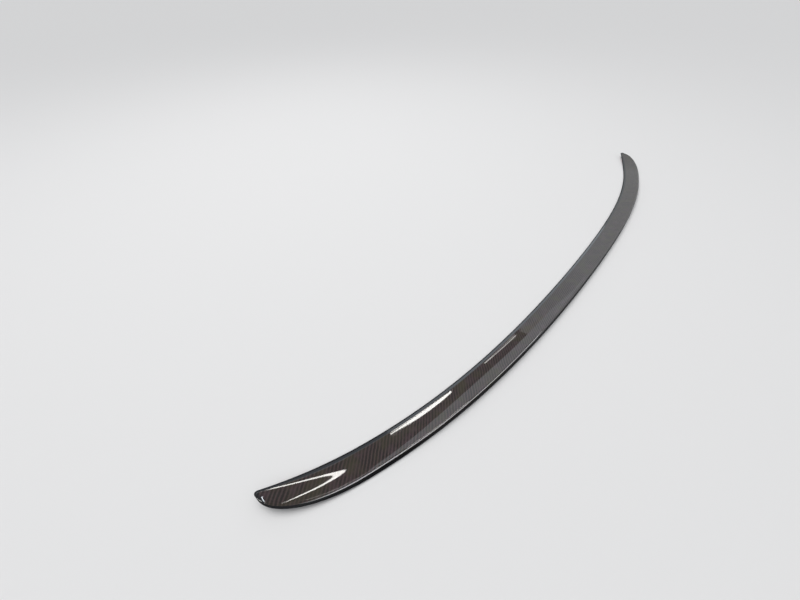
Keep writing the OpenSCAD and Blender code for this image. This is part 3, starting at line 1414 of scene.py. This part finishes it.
@dataclass(frozen=True)
class Studio:
    """Pale floor, soft light and the pale cards that the gloss shows."""

    floor_colour: Colour = (0.80, 0.80, 0.805)
    floor_size: float = 30.0
    ambient: float = 0.5
    ambient_colour: Colour = (0.97, 0.985, 1.0)
    overhead: float = 0.05
    overhead_colour: Colour = (1.0, 0.97, 0.95)
    lamp_colour: Colour = (1.0, 0.99, 0.98)
    wide_power: float = 1.2
    wide_angle: float = 50.0
    wide_place: Point = (-0.4, 1.5, 2.6)
    over_power: float = 7.0
    over_size: float = 1.6
    over_place: Point = (-0.1, 0.75, 1.55)
    pale: Colour = (0.86, 0.94, 1.0)
    warm: Colour = (1.0, 0.985, 0.95)

    def build(self) -> None:
        """Builds everything round the part."""
        self.floor()
        self.world()
        self.lamps()
        for card in self.cards():
            card.build()
        bpy.context.scene.view_settings.view_transform = "Standard"

    def floor(self) -> Object:
        """Makes the pale floor just under the liners.

        Returns:
            The floor.
        """
        half = self.floor_size / 2
        mesh = bpy.data.meshes.new("floor")
        mesh.from_pydata([(-half, -half, 0), (half, -half, 0), (half, half, 0), (-half, half, 0)],
                         [], [(0, 1, 2, 3)])
        material, nodes, shader = new_material("pale_floor")
        nodes.fill(shader, {"Base Color": self.floor_colour, "Roughness": 0.75,
                            "Specular IOR Level": 0.0})
        mesh.materials.append(material)
        floor = add_object("floor", mesh)
        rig.stage(floor)
        return floor

    def world(self) -> None:
        """Soft light from all round, darker overhead where the gloss shows it."""
        world = bpy.data.worlds.new("soft_room")
        bpy.context.scene.world = world
        world.use_nodes = True
        world.node_tree.nodes.clear()
        nodes = Nodes(world.node_tree)
        path = nodes.add("ShaderNodeLightPath")
        soft, dim = nodes.add("ShaderNodeBackground"), nodes.add("ShaderNodeBackground")
        nodes.fill(soft, {"Color": self.ambient_colour, "Strength": self.ambient})
        nodes.fill(dim, {"Color": self.overhead_colour, "Strength": self.overhead})
        pick, output = nodes.add("ShaderNodeMixShader"), nodes.add("ShaderNodeOutputWorld")
        nodes.join(path.outputs["Is Glossy Ray"], pick.inputs[0])
        nodes.join(soft.outputs[0], pick.inputs[1])
        nodes.join(dim.outputs[0], pick.inputs[2])
        nodes.join(pick.outputs[0], output.inputs[0])

    def lamps(self) -> None:
        """A wide soft light on the whole floor and a weak large lamp over the part."""
        wide = bpy.data.lights.new("wide_light", "SUN")
        wide.energy, wide.angle = self.wide_power, math.radians(self.wide_angle)
        over = bpy.data.lights.new("over_lamp", "AREA")
        over.shape, over.size, over.size_y = "RECTANGLE", self.over_size, self.over_size
        over.energy = self.over_power
        for data, place in ((wide, self.wide_place), (over, self.over_place)):
            data.color = self.lamp_colour
            lamp = add_object(data.name, data)
            lamp.location = place
            lamp.rotation_mode = "QUATERNION"
            lamp.rotation_quaternion = (-Vector(place)).to_track_quat("-Z", "Y")
            lamp.visible_glossy = False

    def cards(self) -> list[Card]:
        """Pale cards and lamp faces, each at the place where the clear coat shows it.

        Returns:
            The cards.
        """
        pale, warm = self.pale, self.warm
        return [
            Card("left_wall", (-0.6, 0.463, 0.71), (3.2, -0.138, 0), (0, 0, 0.42), pale, 1.5),
            Card("left_wall_low", (0.05, 0.435, 0.25), (0.60, -0.026, 0), (0, 0, 0.50), pale, 1.5),
            Card("left_wall_far", (0.675, 0.408, 0.25), (0.65, -0.028, 0), (0, 0, 0.50),
                 pale, 1.35),
            Card("wall_corner", (1.085, 0.390, 1.09), (0.47, -0.02, 0), (0.24, -0.01, 0.34),
                 (0.95, 0.97, 0.94), 1.02),
            Card("right_wall", (0.923, -0.6, 0.62), (0.104, 1.99, 0), (0, 0, 1.24), pale, 1.06,
                 (0.61, 0.595, 0.57), (0.24, 0.62)),
            Card("left_wall_end", (-0.425, 0.455, 0.25), (0.35, -0.015, 0), (0, 0, 0.50),
                 pale, 0.6),
            Card("near_lamp", (-0.0925, 0.9725, 2.4), (0.225, -0.0184, 0), (0.004, 0.045, 0),
                 warm, 22.0),
            Card("tip_lamp", (-0.266, 0.760, 2.4), (0.022, 0, 0), (0, 0.034, 0), pale, 26.0),
            Card("long_lamp", (0.535, 0.8636, 2.4), (0.67, -0.156, 0), (0.02, 0.20, 0), warm, 24.0),
            Card("thin_lamp", (1.69, 0.822, 2.4), (0.56, -0.028, 0), (0.001, 0.022, 0), warm, 9.0),
            Card("overhead", (1.0, -0.72, 2.4), (5.0, 0, 0), (0, 1.16, 0), (0.93, 0.96, 1.0), 10.0),
        ]


def main() -> None:
    """Builds the whole scene."""
    logging.basicConfig(level=logging.INFO, format="%(name)s: %(message)s")
    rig.load()
    cad_low, cad_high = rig.bounds()
    Viewpoint().build()
    shell = SpoilerShell().build({Finish.COAT: CoatedCarbon().build(),
                                  Finish.TRIMMED_EDGE: TrimmedEdgeAndShade().build(),
                                  Finish.UNDERSIDE: RawLaminate().build()})
    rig.ride(shell, "root")
    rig.replaces(shell, "spoiler_shell")
    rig.slot(shell, "coated_carbon")
    foam, film = FoamTape().build(), ReleaseFilm().build()
    for edge in Edge:
        TapeRow(edge).build(foam, film)
    Studio().build()
    low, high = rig.bounds()
    with open(SIZE_FILE, "w", encoding="utf-8") as out:
        json.dump({"cad": [list(cad_low), list(cad_high)], "visual": [list(low), list(high)]}, out)


if __name__ == "__main__":
    main()
